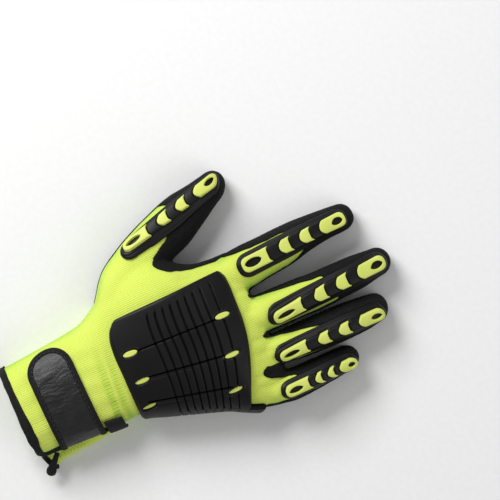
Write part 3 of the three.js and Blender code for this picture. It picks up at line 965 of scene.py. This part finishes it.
# %% The wrist strap
def strap_outline(inset, stop):
    half = STRAP_HALF - inset
    tip = [
        (STRAP_HALF - half * math.cos(a), half * math.sin(a))
        for a in [math.pi / 2 - math.pi * i / 28 for i in range(29)]
    ]
    return [(stop, half)] + tip + [(stop, -half)]


def around_cuff(along, across, height):
    """A point over the cuff, in metres. The strap's root turns in through the slit."""
    tuck = TUCK_DEPTH * smooth_step(STRAP_LENGTH - TUCK_LENGTH, STRAP_LENGTH, along)
    return on_cuff(STRAP_MIDDLE + across, angle_at(along), GAP + height - tuck)


def strap_creases(place):
    """Fine wrinkles that run across the strap, with a few deeper ones where it bends."""
    along, across, height = place
    if height < 0.6:
        return 0
    bend = math.exp(-(((along - 30) / 14) ** 2))
    warp = noise.noise(Vector((along * 0.09, across * 0.1, 3))) * 5
    fine = noise.noise(Vector(((along + warp) * 0.55, across * 0.12, 0)))
    broad = noise.noise(Vector(((along + warp) * 0.16, across * 0.09, 7)))
    return 0.12 * fine + 0.3 * broad + 0.25 * bend * abs(fine)


strap_panel = flat_part("strap_panel", strap_outline(1.4, STRAP_LENGTH), 0, STRAP_THICKNESS, 0.3)
even_faces(strap_panel, 0.5)
push_out(strap_panel, strap_creases)
carry_over(strap_panel, around_cuff)

strap_edging = flat_part("strap_edging", strap_outline(0, STRAP_LENGTH), 0, EDGING_THICKNESS, 0.7)
cut_hole(strap_edging, strap_outline(EDGING_WIDTH, STRAP_LENGTH + 5), -1, EDGING_THICKNESS + 1)
even_faces(strap_edging, 0.4)
carry_over(strap_edging, around_cuff)
print("strap faces:", len(strap_panel.data.polygons), len(strap_edging.data.polygons))

# %% [markdown]
# Tape folded over a cloth edge keeps it from fraying. It is drawn out along the edge as a rounded
# section: down the slit's lip, round the corner, and all the way round the cuff to the lower lip.

# %% The cuff's binding
TAPE_HALF = 2.3
TAPE_THICKNESS = 3.1
TAPE_SINK = 1.4
TAPE_TURNS = 16
LIP_ANGLE = 8.5
LOWER_LIP_ANGLE = -9
CORNER = 6
TAPE_END_Y = CUFF_Y + 1.6


def tape_route():
    """Places on the cuff as (angle, y): the slit's lip, the corner and the way round."""
    route = [(LIP_ANGLE, y) for y in steps(SLIT_END_Y - 3, TAPE_END_Y + CORNER, 2.5)]
    for i in range(1, 8):
        turn = math.pi / 2 * i / 8
        route.append((LIP_ANGLE + 16 * (1 - math.cos(turn)), TAPE_END_Y + CORNER * (1 - math.sin(turn))))
    route += [(degrees, TAPE_END_Y) for degrees in steps(LIP_ANGLE + 16, 360 + LOWER_LIP_ANGLE, 3)]
    return route


def tape_rings(route):
    """The tape's sections along its route, leaning up where it turns on to the lip."""
    centres = [on_cuff(y, degrees, -TAPE_SINK) for degrees, y in route]
    rings = []
    for i, (degrees, y) in enumerate(route):
        ahead = (centres[min(i + 1, len(centres) - 1)] - centres[max(i - 1, 0)]).normalized()
        outward = (on_cuff(y, degrees, 1) - on_cuff(y, degrees, -1)).normalized()
        on_lip = smooth_step(LIP_ANGLE + 22, LIP_ANGLE + 8, degrees)
        outward += Vector((0, 0, 1.1)) * on_lip
        outward = (outward - ahead * outward.dot(ahead)).normalized()
        aside = ahead.cross(outward)
        size = tape_size(i / (len(route) - 1))
        shape = []
        for a in full_turn(TAPE_TURNS):
            wide = signed_power(math.cos(a), 0.6) * TAPE_HALF
            thick = signed_power(math.sin(a), 0.7) * TAPE_THICKNESS / 2
            shape.append(centres[i] + (aside * wide + outward * thick) * size * MM)
        rings.append(shape)
    return rings


def tape_size(share):
    """The tape is padded where it turns the lip's corner, and lies a little unevenly elsewhere."""
    corner = smooth_step(0.1, 0.16, share) * smooth_step(0.32, 0.2, share)
    return 1 + 0.05 * math.sin(share * 90) + 0.38 * corner


binding = draw_out("cuff_tape", tape_rings(tape_route()))
binding.data.shade_smooth()
print("tape faces:", len(binding.data.polygons))

# %% [markdown]
# The slit has a piece of tape at each end. At the cuff, a loose end leaves the strap's corner, lies over
# the lower lip and ends round, like a drop. At the inner end a short folded tab lies across the slit and
# keeps it from tearing further; it is wrapped round the cuff as the strap is.

# %% The tape's loose end and the slit's tab
DROP_START = Vector((31.5, -92.5, 15))
DROP_STOP = Vector((42.5, -103, 8))
DROP_RISE = 1.6
DROP_HALF_WIDTH = 3.1
DROP_HALF_HEIGHT = 1.9
# Shares of the way along, and the drop's size there.
DROP_SIZES = [
    (0, 0.5), (0.2, 0.55), (0.4, 0.62), (0.6, 0.85),
    (0.76, 1.05), (0.9, 0.95), (0.97, 0.6), (1, 0.2),
]
TAB_ANGLES = (40, -8)
TAB_MIDDLE = -51.2
TAB_THICKNESS = 1.9


def loose_end():
    heading = (DROP_STOP - DROP_START).normalized()
    aside = heading.cross(Vector((0, 0, 1))).normalized()
    upward = aside.cross(heading)
    rings = []
    for share, size in DROP_SIZES:
        centre = DROP_START.lerp(DROP_STOP, share) + Vector((0, 0, DROP_RISE)) * math.sin(math.pi * share)
        rings.append([])
        for a in full_turn(TAPE_TURNS):
            out = aside * math.cos(a) * DROP_HALF_WIDTH + upward * math.sin(a) * DROP_HALF_HEIGHT
            rings[-1].append((centre + out * size) * MM)
    return draw_out("tape_end", rings)


drop = loose_end()
drop.data.shade_smooth()
tab_reach = [distance_at(angle) for angle in TAB_ANGLES]
tab_outline = [(-6.2, tab_reach[0]), (5.6, tab_reach[0] + 1), (6.4, tab_reach[1]), (-5.6, tab_reach[1])]
tab = flat_part("slit_end_tab", list(reversed(tab_outline)), 0, TAB_THICKNESS, 0.7)
even_faces(tab, 0.35)
carry_over(tab, lambda x, y, h: on_cuff(TAB_MIDDLE + x, angle_at(y), 2 * GAP + h))
print("tab faces:", len(tab.data.polygons))

# %% [markdown]
# Thread holds the parts together: a row of stitches follows the strap's edging and the cuff's tape, and
# a green zigzag runs along the slit's lower lip. One stitch is a small round bar. It is modelled once,
# and each copy's mesh is stretched between two places on the surface, with one side kept outwards.

# %% One stitch, and rows of it
STITCH_LENGTH = 2.1
STITCH_GAP = 0.9
STITCH_RADIUS = 0.27

deselect_all()
bpy.ops.mesh.primitive_uv_sphere_add(segments=6, ring_count=5, radius=1)
one_stitch = named("one_stitch")


def stitch_row(name, ends):
    """Stitches joined to one piece, each given by two points and the way outwards."""
    row = []
    for start, stop, outward in ends:
        along = (stop - start) / 2
        aside = outward.cross(along).normalized() * STITCH_RADIUS * 1.4 * MM
        lift = outward.normalized() * STITCH_RADIUS * MM
        turned = Matrix((along, aside, lift)).transposed().to_4x4()
        stitch = duplicate(one_stitch, name)
        stitch.data.transform(Matrix.Translation((start + stop) / 2) @ turned)
        row.append(stitch)
    joined = join(row, name)
    joined.data.shade_smooth()
    return joined


def spaced(path, length, gap):
    """Pairs of places along a path of flat points, a stitch's length apart."""
    pairs, travelled, start = [], 0, None
    want = 0
    for (x0, y0), (x1, y1) in zip(path, path[1:]):
        part = math.hypot(x1 - x0, y1 - y0)
        while want <= travelled + part:
            t = (want - travelled) / part
            spot = (mix(x0, x1, t), mix(y0, y1, t))
            if start is None:
                start = spot
                want += length
            else:
                pairs.append((start, spot))
                start = None
                want += gap
        travelled += part
    return pairs


# %% [markdown]
# Each row asks the surface that it lies on for its places: the strap's edging, the cuff beside the tape,
# and the lower lip. The glove rests on its palm side, so what is sewn there is pressed flat.

# %% Sew the rows
THREAD_HEIGHT = EDGING_THICKNESS - 0.05
ZIGZAG_ANGLES = (-10, -17)
ZIGZAG_START_Y = -97
ZIGZAG_STEP = 1.15
ZIGZAG_COUNT = 34
ZIGZAG_HEIGHT = -0.95


def strap_stitches():
    path = strap_outline(EDGING_WIDTH - 0.8, STRAP_LENGTH - 2)
    ends = []
    for first, second in spaced(path, STITCH_LENGTH, STITCH_GAP):
        outward = around_cuff(*first, 3) - around_cuff(*first, 0)
        ends.append((around_cuff(*first, THREAD_HEIGHT), around_cuff(*second, THREAD_HEIGHT), outward))
    return stitch_row("strap_stitches", ends)


def cuff_stitch(first, second, above):
    """A stitch between two places on the cuff, each an angle and a y, with its way outwards."""
    (a0, y0), (a1, y1) = first, second
    outward = on_cuff(y0, a0, 3) - on_cuff(y0, a0, 0)
    return on_cuff(y0, a0, above), on_cuff(y1, a1, above), outward


def zigzag_stitches():
    """A zigzag that runs along the lower lip of the slit, below the strap's root."""
    route = [(ZIGZAG_ANGLES[i % 2], ZIGZAG_START_Y + i * ZIGZAG_STEP) for i in range(ZIGZAG_COUNT + 1)]
    return stitch_row("lip_zigzag", [cuff_stitch(*pair, ZIGZAG_HEIGHT) for pair in zip(route, route[1:])])


def cuff_stitches():
    y = TAPE_END_Y + TAPE_HALF - 0.6
    angles = steps(30, 338, 1.6)
    ends = [cuff_stitch((a0, y), (a1, y), 0.1) for a0, a1 in zip(angles[::2], angles[1::2])]
    return stitch_row("cuff_stitches", ends)


def press_flat(piece):
    """The glove's weight presses what would reach below the floor flat against it."""
    for vertex in piece.data.vertices:
        vertex.co.z = max(vertex.co.z, 0)


black_stitches = [strap_stitches(), cuff_stitches()]
green_stitches = zigzag_stitches()
for piece in [binding] + black_stitches:
    press_flat(piece)
print("stitch faces:", [len(row.data.polygons) for row in black_stitches + [green_stitches]])

# %% [markdown]
# Shader maths reads better as maths. A small class wraps a socket and overloads the operators, so an
# expression adds its own Math nodes, and one method adds any other node.

# %% Write shader maths as expressions
class Value:
    def __init__(self, finish, socket):
        self.finish = finish
        self.socket = socket

    def maths(self, operation, *others):
        return self.finish.node("ShaderNodeMath", {"operation": operation}, [self, *others])

    def __add__(self, other):
        return self.maths("ADD", other)

    def __mul__(self, other):
        return self.maths("MULTIPLY", other)

    def __sub__(self, other):
        return self.maths("SUBTRACT", other)

    def __rsub__(self, other):
        return self.finish.node("ShaderNodeMath", {"operation": "SUBTRACT"}, [other, self])

    __radd__ = __add__
    __rmul__ = __mul__

    def sine(self):
        return self.maths("SINE")

    def absolute(self):
        return self.maths("ABSOLUTE")

    def between(self, low, high):
        """0 below low and 1 above high, with a smooth way up."""
        settings = {"interpolation_type": "SMOOTHSTEP"}
        sockets = {"Value": self, "From Min": low, "From Max": high}
        return self.finish.node("ShaderNodeMapRange", settings, sockets)


class Finish:
    """One material, with its nodes."""

    def __init__(self, name):
        self.material = bpy.data.materials.new(name)
        self.material.use_nodes = True
        self.tree = self.material.node_tree
        self.shader = self.tree.nodes["Principled BSDF"]
        self.place = self.node("ShaderNodeTexCoord", output="Object")

    def node(self, kind, settings=None, sockets=(), output=0):
        made = self.tree.nodes.new(kind)
        for name, value in (settings or {}).items():
            setattr(made, name, value)
        pairs = sockets.items() if isinstance(sockets, dict) else enumerate(sockets)
        for name, value in pairs:
            self.join(made.inputs[name], value)
        return Value(self, made.outputs[output])

    def join(self, socket, value):
        if isinstance(value, Value):
            self.tree.links.new(value.socket, socket)
        else:
            socket.default_value = value

    def noise(self, scale, detail=3, roughness=0.5, where=None):
        sockets = {"Vector": where or self.place, "Scale": scale, "Detail": detail, "Roughness": roughness}
        return self.node("ShaderNodeTexNoise", None, sockets)

    def stretched(self, x, y, z):
        """Object coordinates scaled differently along each axis."""
        return self.node("ShaderNodeVectorMath", {"operation": "MULTIPLY"}, [self.place, (x, y, z)])

    def axes(self, vector):
        split = self.node("ShaderNodeSeparateXYZ", None, [vector])
        outputs = split.socket.node.outputs
        return [Value(self, outputs[i]) for i in range(3)]

    def colours(self, share, first, second):
        ends = [colour if isinstance(colour, Value) else (*colour, 1) for colour in (first, second)]
        sockets = {0: share, 6: ends[0], 7: ends[1]}
        return self.node("ShaderNodeMix", {"data_type": "RGBA"}, sockets, output=2)

    def bump(self, height, strength, distance):
        sockets = {"Height": height, "Strength": strength, "Distance": distance}
        return self.node("ShaderNodeBump", None, sockets)

    def set(self, **values):
        names = {
            "colour": "Base Color",
            "roughness": "Roughness",
            "metal": "Metallic",
            "normal": "Normal",
            "coat": "Coat Weight",
            "coat_roughness": "Coat Roughness",
            "sheen": "Sheen Weight",
            "sheen_roughness": "Sheen Roughness",
            "gloss": "Specular IOR Level",
            "glow": "Emission Color",
            "glow_strength": "Emission Strength",
        }
        for name, value in values.items():
            if isinstance(value, tuple):
                value = (*value, 1)
            self.join(self.shader.inputs[names[name]], value)
        return self.material


# %% [markdown]
# High-visibility knit is dyed with a fluorescent colour, so it looks brighter than the light on it: a
# faint glow stands in for that. Its wales, the columns of loops, run along the glove, so fine lines
# follow +Y, drawn over x where the cloth faces up and over z where it faces sideways.

# %% Knit
WALE_WIDTH = 0.00125
GATHER_WIDTH = 0.0021
COURSE_WIDTH = 0.0009


def knit_finish():
    finish = Finish("knit")
    x, y, z = finish.axes(finish.place)
    facing = finish.axes(finish.node("ShaderNodeTexCoord", output="Normal"))[2].absolute()
    upward = facing.between(0.55, 0.75)
    wander = finish.noise(55, 2) * 0.0016

    def lines(width):
        turn = 2 * math.pi / width
        over_x = ((x + wander) * turn).sine() * upward
        over_z = ((z + wander) * turn).sine() * (1 - upward)
        return over_x + over_z

    wales = lines(WALE_WIDTH)
    courses = (y * (2 * math.pi / COURSE_WIDTH)).sine()
    # The wrist's two folds: the gathers stand out more there, and below their valleys get painted shade.
    folds = 0
    for fold_y, strength in WRIST_FOLDS:
        away = (y + x * FOLD_LEAN - fold_y * MM).absolute()
        folds = folds + (1 - away.between(0.0002, 0.0036)) * strength
    folds = folds * x.between(-0.026, 0.01)
    cuff_zone = 1 - y.between(-0.095, -0.035)
    patches = finish.noise(60, 2).between(0.35, 0.65)
    gathers = lines(GATHER_WIDTH) * (folds * 0.5 + cuff_zone * patches * 0.25)
    fuzz = finish.noise(900, 3)
    height = wales * 0.4 + courses * 0.15 + gathers + fuzz * 0.5
    # The yarn's random tone, with painted shade: darker in the hollows between wales and gathers, and
    # darker along the folds.
    tone_and_painted_light = wales * 0.07 + gathers * 0.12 + fuzz * 0.3 + finish.noise(38, 3) * 0.35 - folds * 0.3
    # Painted light: cloth that lies level is painted lighter and paler, and cloth that faces sideways
    # darker and greener.
    tone_and_painted_light = tone_and_painted_light + facing.between(0.1, 1.0) * 0.45
    # The mix runs from a shaded copy of the knit's colour to a lit copy of it.
    colour = finish.colours(tone_and_painted_light.between(0, 0.95), (0.30, 0.56, 0.02), (0.67, 0.77, 0.12))
    normal = finish.bump(height, 0.5, 0.0004)
    return finish.set(
        colour=colour, roughness=0.85, normal=normal, sheen=0.25, sheen_roughness=0.5,
        glow=colour, glow_strength=0.06, gloss=0.25,
    )


# %% [markdown]
# The nitrile skin is foamed and left sandy, so it scatters what light it gets: fine grains in the bump,
# a few glints in the roughness, and slow creases over the digits.

# %% Sandy coating
def coating_finish():
    finish = Finish("coating")
    grain = finish.noise(1500, 4, 0.65)
    pits = finish.noise(620, 2)
    creases = finish.noise(1, 3, where=finish.stretched(130, 60, 130))
    height = grain * 0.8 + pits * 0.6 + creases * 1.6
    colour = finish.colours(grain.between(0.35, 0.8), (0.004, 0.004, 0.0042), (0.016, 0.016, 0.017))
    roughness = 0.92 - grain.between(0.5, 0.8) * 0.35
    normal = finish.bump(height, 0.75, 0.0006)
    return finish.set(colour=colour, roughness=roughness, normal=normal, gloss=0.2)


# %% [markdown]
# Moulded rubber has a satin face from its blasted mould. The black guards and the green pads share one
# recipe: a very fine grain, and a slow change in gloss where hands have rubbed them. The panel's narrow
# parting lines would catch light where deep ones stay dark, so the shade of a deep groove is painted into
# them: black, and as a metal, because a black metal reflects nothing.

# %% Moulded rubber
def rubber_finish(name, dark, light, roughness, glow, lines=()):
    """Rubber, with the painted shade of some parting lines, each given by its two ends in plan."""
    finish = Finish(name)
    x, y, z = finish.axes(finish.place)
    blast = finish.noise(2600, 2)
    rubbed = finish.noise(45, 3)
    colour = finish.colours(rubbed.between(0.3, 0.7), dark, light)
    gloss = roughness + rubbed * 0.16 - 0.08
    unlit = 0
    # Painted shade: each parting line is painted near black, and as a metal so that it reflects nothing,
    # as a deep groove's shade looks.
    for near, far in lines:
        slope = (far[0] - near[0]) / (far[1] - near[1])
        away = (x - near[0] * MM - (y - near[1] * MM) * slope).absolute()
        begun = y.between(near[1] * MM, near[1] * MM + 0.001)
        ended = y.between(far[1] * MM - 0.001, far[1] * MM)
        line = (1 - away.between(0.0003, 0.0007)) * (begun * (1 - ended))
        colour = finish.colours(line, colour, (0.0008, 0.0008, 0.0008))
        unlit = unlit + line
    normal = finish.bump(blast + rubbed * 0.6, 0.25, 0.00025)
    settings = {"colour": colour, "roughness": gloss, "metal": unlit, "normal": normal, "gloss": 0.24}
    # Painted light: a faint glow makes the green pads look brighter than the lamps light them.
    if glow:
        settings.update(glow=colour, glow_strength=glow)
    return finish.set(**settings)


# %% [markdown]
# The strap's face is a coated cloth embossed as leather: rounded cells from a Voronoi pattern, with
# finer cells inside them, and a gloss that is broken up along the creases.

# %% Strap leather
def leather_finish():
    finish = Finish("strap_leather")
    cells = finish.node("ShaderNodeTexVoronoi", None, {"Vector": finish.place, "Scale": 820})
    fine = finish.node("ShaderNodeTexVoronoi", None, {"Vector": finish.place, "Scale": 2100})
    wrinkles = finish.noise(1, 4, 0.6, where=finish.stretched(620, 110, 620))
    height = cells * 0.5 + fine * 0.2 + wrinkles * 1.0
    # Painted shade and light: the wrinkles' hollows are painted darker and their crests lighter.
    colour = finish.colours(wrinkles.between(0.3, 0.7), (0.004, 0.0038, 0.0038), (0.010, 0.0092, 0.0092))
    roughness = 0.34 + wrinkles * 0.22
    normal = finish.bump(height, 0.6, 0.0005)
    return finish.set(
        colour=colour, roughness=roughness, normal=normal, coat=0.12, coat_roughness=0.35, gloss=0.4
    )


# %% [markdown]
# Tape and thread are woven and spun: fine ridges across the tape, a twist along each thread.

# %% Tape and thread
def tape_finish():
    finish = Finish("tape")
    x, y, z = finish.axes(finish.place)
    weave = ((x + z) * 5200).sine() * (y * 5200).sine()
    fuzz = finish.noise(1400, 3)
    colour = finish.colours(fuzz.between(0.3, 0.8), (0.003, 0.003, 0.0033), (0.012, 0.012, 0.013))
    normal = finish.bump(weave * 0.6 + fuzz * 0.7, 0.6, 0.0004)
    return finish.set(colour=colour, roughness=0.72, normal=normal, gloss=0.25)


def thread_finish(name, dark, light):
    finish = Finish(name)
    x, y, z = finish.axes(finish.place)
    twist = ((x + y + z) * 9000).sine()
    colour = finish.colours(twist.between(-0.5, 0.8), dark, light)
    return finish.set(colour=colour, roughness=0.6, normal=finish.bump(twist, 0.5, 0.0002))


KNIT = knit_finish()
COATING = coating_finish()
GUARD_BLACKS = [(0.0038, 0.0037, 0.004), (0.006, 0.0058, 0.0063)]
GUARD = rubber_finish("guard_rubber", *GUARD_BLACKS, 0.44, 0)
PANEL = rubber_finish("panel_rubber", *GUARD_BLACKS, 0.44, 0, lines=PARTING_LINES)
# The green pads' rubber glows faintly: painted light.
ACCENT = rubber_finish("accent_rubber", (0.62, 0.69, 0.14), (0.68, 0.74, 0.17), 0.45, 0.04)
LEATHER = leather_finish()
TAPE = tape_finish()
BLACK_THREAD = thread_finish("black_thread", (0.006, 0.006, 0.0065), (0.024, 0.024, 0.026))
GREEN_THREAD = thread_finish("green_thread", (0.16, 0.28, 0.02), (0.34, 0.5, 0.05))

# %% [markdown]
# Every new piece takes its material and rides on the model's one body, and the nodes of the CAD model
# that it stands for are hidden.

# %% Hand the pieces over to the model
def hand_over(piece, material, slot, *nodes):
    piece.data.materials.clear()
    piece.data.materials.append(material)
    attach(piece, "root")
    if nodes:
        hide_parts(*nodes)


bpy.data.objects.remove(skin)
bpy.data.objects.remove(one_stitch)
hand_over(knit, KNIT, "knit", "knit_shell")
hand_over(coating, COATING, "coating", "palm_coating")
hand_over(panel, PANEL, "guard", "knuckle_guard")
for i, insert in enumerate(lens_inserts):
    hand_over(insert, ACCENT, "accent", f"knuckle_lens_{i + 1}")
for name, (base, pads) in guards.items():
    hand_over(base, GUARD, "guard", name + "_guard_base")
    for i, pad in enumerate(pads):
        hand_over(pad, ACCENT, "accent", f"{name}_pad_{i + 1}")
hand_over(strap_panel, LEATHER, "leather", "wrist_strap")
hand_over(strap_edging, TAPE, "binding", "wrist_strap")
hand_over(binding, TAPE, "binding", "cuff_binding")
hand_over(drop, TAPE, "binding", "cuff_binding")
hand_over(tab, TAPE, "binding", "slit_tab")
for row in black_stitches:
    hand_over(row, BLACK_THREAD, "binding")
hand_over(green_stitches, GREEN_THREAD, "knit")

# %% [markdown]
# The picture is taken from straight above, with the fingertips towards the upper right. A long lens
# keeps the glove's outline almost free of perspective. One large soft lamp beyond the thumb, with a
# weak one beyond the little finger and an even white room, gives the guards their soft highlights.

# %% Floor, camera and light
FLOOR_SIZE = 4
VIEW_CENTRE = Vector((-32.7, 70.4, 16)) * MM
VIEW_WIDTH = 0.3125
CAMERA_ROLL = 25
LENS_MM = 300
SENSOR_MM = 36
ROOM_STRENGTH = 0.33
# Each lamp's place and size in metres, and its power in watts.
LAMPS = {
    "soft_key": ((-1.15, -0.25, 1.0), 0.8, 23),
    "soft_fill": ((0.9, 0.8, 1.0), 1.0, 5),
}

deselect_all()
bpy.ops.mesh.primitive_plane_add(size=FLOOR_SIZE, location=(0, 0, 0))
floor = named("floor")
floor_finish = Finish("floor_paper")
paper = floor_finish.noise(300, 2)
floor.data.materials.append(
    floor_finish.set(
        colour=floor_finish.colours(paper.between(0.3, 0.7), (0.86, 0.86, 0.86), (0.88, 0.88, 0.88)),
        roughness=0.9,
    )
)

camera_data = bpy.data.cameras.new("camera")
camera_data.lens = LENS_MM
camera_data.sensor_width = SENSOR_MM
camera = bpy.data.objects.new("camera", camera_data)
bpy.context.collection.objects.link(camera)
distance = VIEW_WIDTH * LENS_MM / SENSOR_MM
camera.location = VIEW_CENTRE + Vector((0, 0, distance))
camera.rotation_euler = (0, 0, math.radians(90 - CAMERA_ROLL))
bpy.context.scene.camera = camera


def lamp(name, place, size, power):
    data = bpy.data.lights.new(name, "AREA")
    data.size = size
    data.energy = power
    light = bpy.data.objects.new(name, data)
    bpy.context.collection.objects.link(light)
    light.location = place
    light.rotation_euler = (VIEW_CENTRE - Vector(place)).to_track_quat("-Z", "Y").to_euler()


for name, settings in LAMPS.items():
    lamp(name, *settings)
world = bpy.data.worlds.new("room")
world.use_nodes = True
world.node_tree.nodes["Background"].inputs["Color"].default_value = (1, 1, 1, 1)
world.node_tree.nodes["Background"].inputs["Strength"].default_value = ROOM_STRENGTH
bpy.context.scene.world = world
bpy.context.scene.view_settings.view_transform = "Standard"
